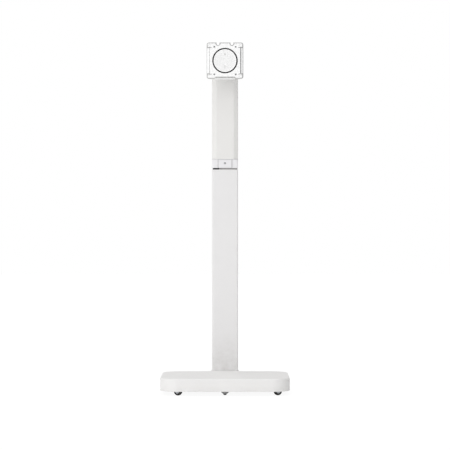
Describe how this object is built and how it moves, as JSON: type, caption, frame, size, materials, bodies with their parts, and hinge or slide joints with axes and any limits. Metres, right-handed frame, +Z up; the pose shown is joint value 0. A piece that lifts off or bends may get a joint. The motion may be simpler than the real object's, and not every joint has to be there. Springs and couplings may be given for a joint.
{
  "type": "rolling display stand",
  "caption": "Floor-standing rolling display stand: low base on casters, telescopic flat column on a gas spring, and a swivel, tilt and pivot head with a square mounting plate.",
  "frame": {"origin": "on the floor, under the centre of the stand's footprint box", "axes": "+Z up along the column, -Y towards the side the mounting plate faces, +X to the right as seen from that side"},
  "size_m": [0.41, 0.38, 1.1355],
  "materials": {
    "cover_white": "fine satin moulded texture",
    "column_white": "satin powder coat",
    "sleeve_white": "fine satin moulded texture",
    "collar_white": "satin",
    "plate_white": "satin",
    "hub_white": "satin",
    "ring_dark": "matte friction lining",
    "black_plastic": "matte",
    "guide_nylon": "matte nylon",
    "mast_aluminium": "satin anodised",
    "bracket_steel": "light grey powder coat",
    "zinc_steel": "zinc plated",
    "spring_black": "gloss black paint",
    "chassis_black": "black powder coat",
    "ballast_iron": "raw with light oil film",
    "wheel_rubber": "matte"
  },
  "bodies": {
    "base": {"base_cover": "cover_white", "chassis_plate": "chassis_black", "ballast_plate": "ballast_iron", "column_foot": "zinc_steel", "foot_bolt_left": "zinc_steel", "foot_bolt_right": "zinc_steel", "column_tube": "column_white", "column_rear_cover": "sleeve_white", "spring_anchor": "zinc_steel", "gas_spring_rod": "zinc_steel", "guide_bush": "guide_nylon", "collar": "collar_white", "collar_front_insert": "collar_white", "tension_screw": "zinc_steel", "caster_front_left_mount": "zinc_steel", "caster_front_right_mount": "zinc_steel", "caster_rear_left_mount": "zinc_steel", "caster_rear_right_mount": "zinc_steel", "glide_locknut": "zinc_steel"},
    "glide": {"glide_foot": "zinc_steel"},
    "height_lock": {"height_lock_slider": "black_plastic"},
    "caster_front_left": {"caster_front_left_fork": "zinc_steel", "caster_front_left_axle": "zinc_steel"},
    "caster_front_right": {"caster_front_right_fork": "zinc_steel", "caster_front_right_axle": "zinc_steel"},
    "caster_rear_left": {"caster_rear_left_fork": "zinc_steel", "caster_rear_left_axle": "zinc_steel"},
    "caster_rear_right": {"caster_rear_right_fork": "zinc_steel", "caster_rear_right_axle": "zinc_steel"},
    "wheel_front_left": {"caster_front_left_wheel": "wheel_rubber"},
    "wheel_front_right": {"caster_front_right_wheel": "wheel_rubber"},
    "wheel_rear_left": {"caster_rear_left_wheel": "wheel_rubber"},
    "wheel_rear_right": {"caster_rear_right_wheel": "wheel_rubber"},
    "mast": {"mast_tube": "mast_aluminium", "mast_shoe": "guide_nylon", "gas_spring_cylinder": "spring_black", "gas_spring_pin": "zinc_steel", "head_bracket": "bracket_steel", "swivel_pin": "zinc_steel", "sleeve_front": "sleeve_white", "sleeve_rear": "sleeve_white", "sleeve_cap": "sleeve_white"},
    "swivel": {"swivel_yoke": "bracket_steel", "swivel_bush": "guide_nylon", "tilt_pin": "zinc_steel", "tilt_nut": "zinc_steel"},
    "tilt": {"tilt_knuckle": "bracket_steel", "hub_cap": "hub_white", "hub_screw_top": "zinc_steel", "hub_screw_bottom": "zinc_steel", "friction_ring": "ring_dark"},
    "plate": {"mounting_plate": "plate_white", "rotor_flange": "bracket_steel", "plate_screw_1": "zinc_steel", "plate_screw_2": "zinc_steel", "plate_screw_3": "zinc_steel", "plate_screw_4": "zinc_steel"},
    "latch": {"release_latch": "plate_white", "latch_spring_left": "zinc_steel", "latch_spring_right": "zinc_steel"}
  },
  "joints": [
    {"name": "column_height", "type": "slide", "parent": "base", "child": "mast", "axis": [0, 0, 1], "range_m": [0, 0.18]},
    {"name": "head_swivel", "type": "hinge", "parent": "mast", "child": "swivel", "pos_m": [0, 0.121, 1.0755], "axis": [0, 0, 1], "range_deg": [-30, 30]},
    {"name": "head_tilt", "type": "hinge", "parent": "swivel", "child": "tilt", "pos_m": [0, 0.102, 1.0755], "axis": [1, 0, 0], "range_deg": [-25, 25]},
    {"name": "head_rotate", "type": "hinge", "parent": "tilt", "child": "plate", "pos_m": [0, 0.072, 1.0755], "axis": [0, 1, 0], "range_deg": [-90, 90]},
    {"name": "latch_release", "type": "slide", "parent": "plate", "child": "latch", "axis": [0, 0, 1], "range_m": [0, 0.004], "stiffness_N_per_m": 1500, "springref_m": -0.002, "deforming": ["latch_spring_left", "latch_spring_right"]},
    {"name": "lock_slide", "type": "slide", "parent": "base", "child": "height_lock", "axis": [1, 0, 0], "range_m": [0, 0.008]},
    {"name": "glide_height", "type": "slide", "parent": "base", "child": "glide", "axis": [0, 0, 1], "range_m": [-0.002, 0.006]},
    {"name": "caster_front_left_swivel", "type": "hinge", "parent": "base", "child": "caster_front_left", "pos_m": [-0.157, -0.155, 0.035], "axis": [0, 0, 1], "continuous": true},
    {"name": "caster_front_right_swivel", "type": "hinge", "parent": "base", "child": "caster_front_right", "pos_m": [0.157, -0.155, 0.035], "axis": [0, 0, 1], "continuous": true},
    {"name": "caster_rear_left_swivel", "type": "hinge", "parent": "base", "child": "caster_rear_left", "pos_m": [-0.157, 0.092, 0.035], "axis": [0, 0, 1], "continuous": true},
    {"name": "caster_rear_right_swivel", "type": "hinge", "parent": "base", "child": "caster_rear_right", "pos_m": [0.157, 0.092, 0.035], "axis": [0, 0, 1], "continuous": true},
    {"name": "wheel_front_left_spin", "type": "hinge", "parent": "caster_front_left", "child": "wheel_front_left", "pos_m": [-0.14766, -0.15858, 0.013], "axis": [0.3584, 0.9336, 0], "continuous": true},
    {"name": "wheel_front_right_spin", "type": "hinge", "parent": "caster_front_right", "child": "wheel_front_right", "pos_m": [0.16656, -0.15208, 0.013], "axis": [-0.2924, 0.9563, 0], "continuous": true},
    {"name": "wheel_rear_left_spin", "type": "hinge", "parent": "caster_rear_left", "child": "wheel_rear_left", "pos_m": [-0.14817, 0.09669, 0.013], "axis": [-0.4695, 0.8829, 0], "continuous": true},
    {"name": "wheel_rear_right_spin", "type": "hinge", "parent": "caster_rear_right", "child": "wheel_rear_right", "pos_m": [0.16678, 0.08992, 0.013], "axis": [0.2079, 0.9781, 0], "continuous": true}
  ]
}
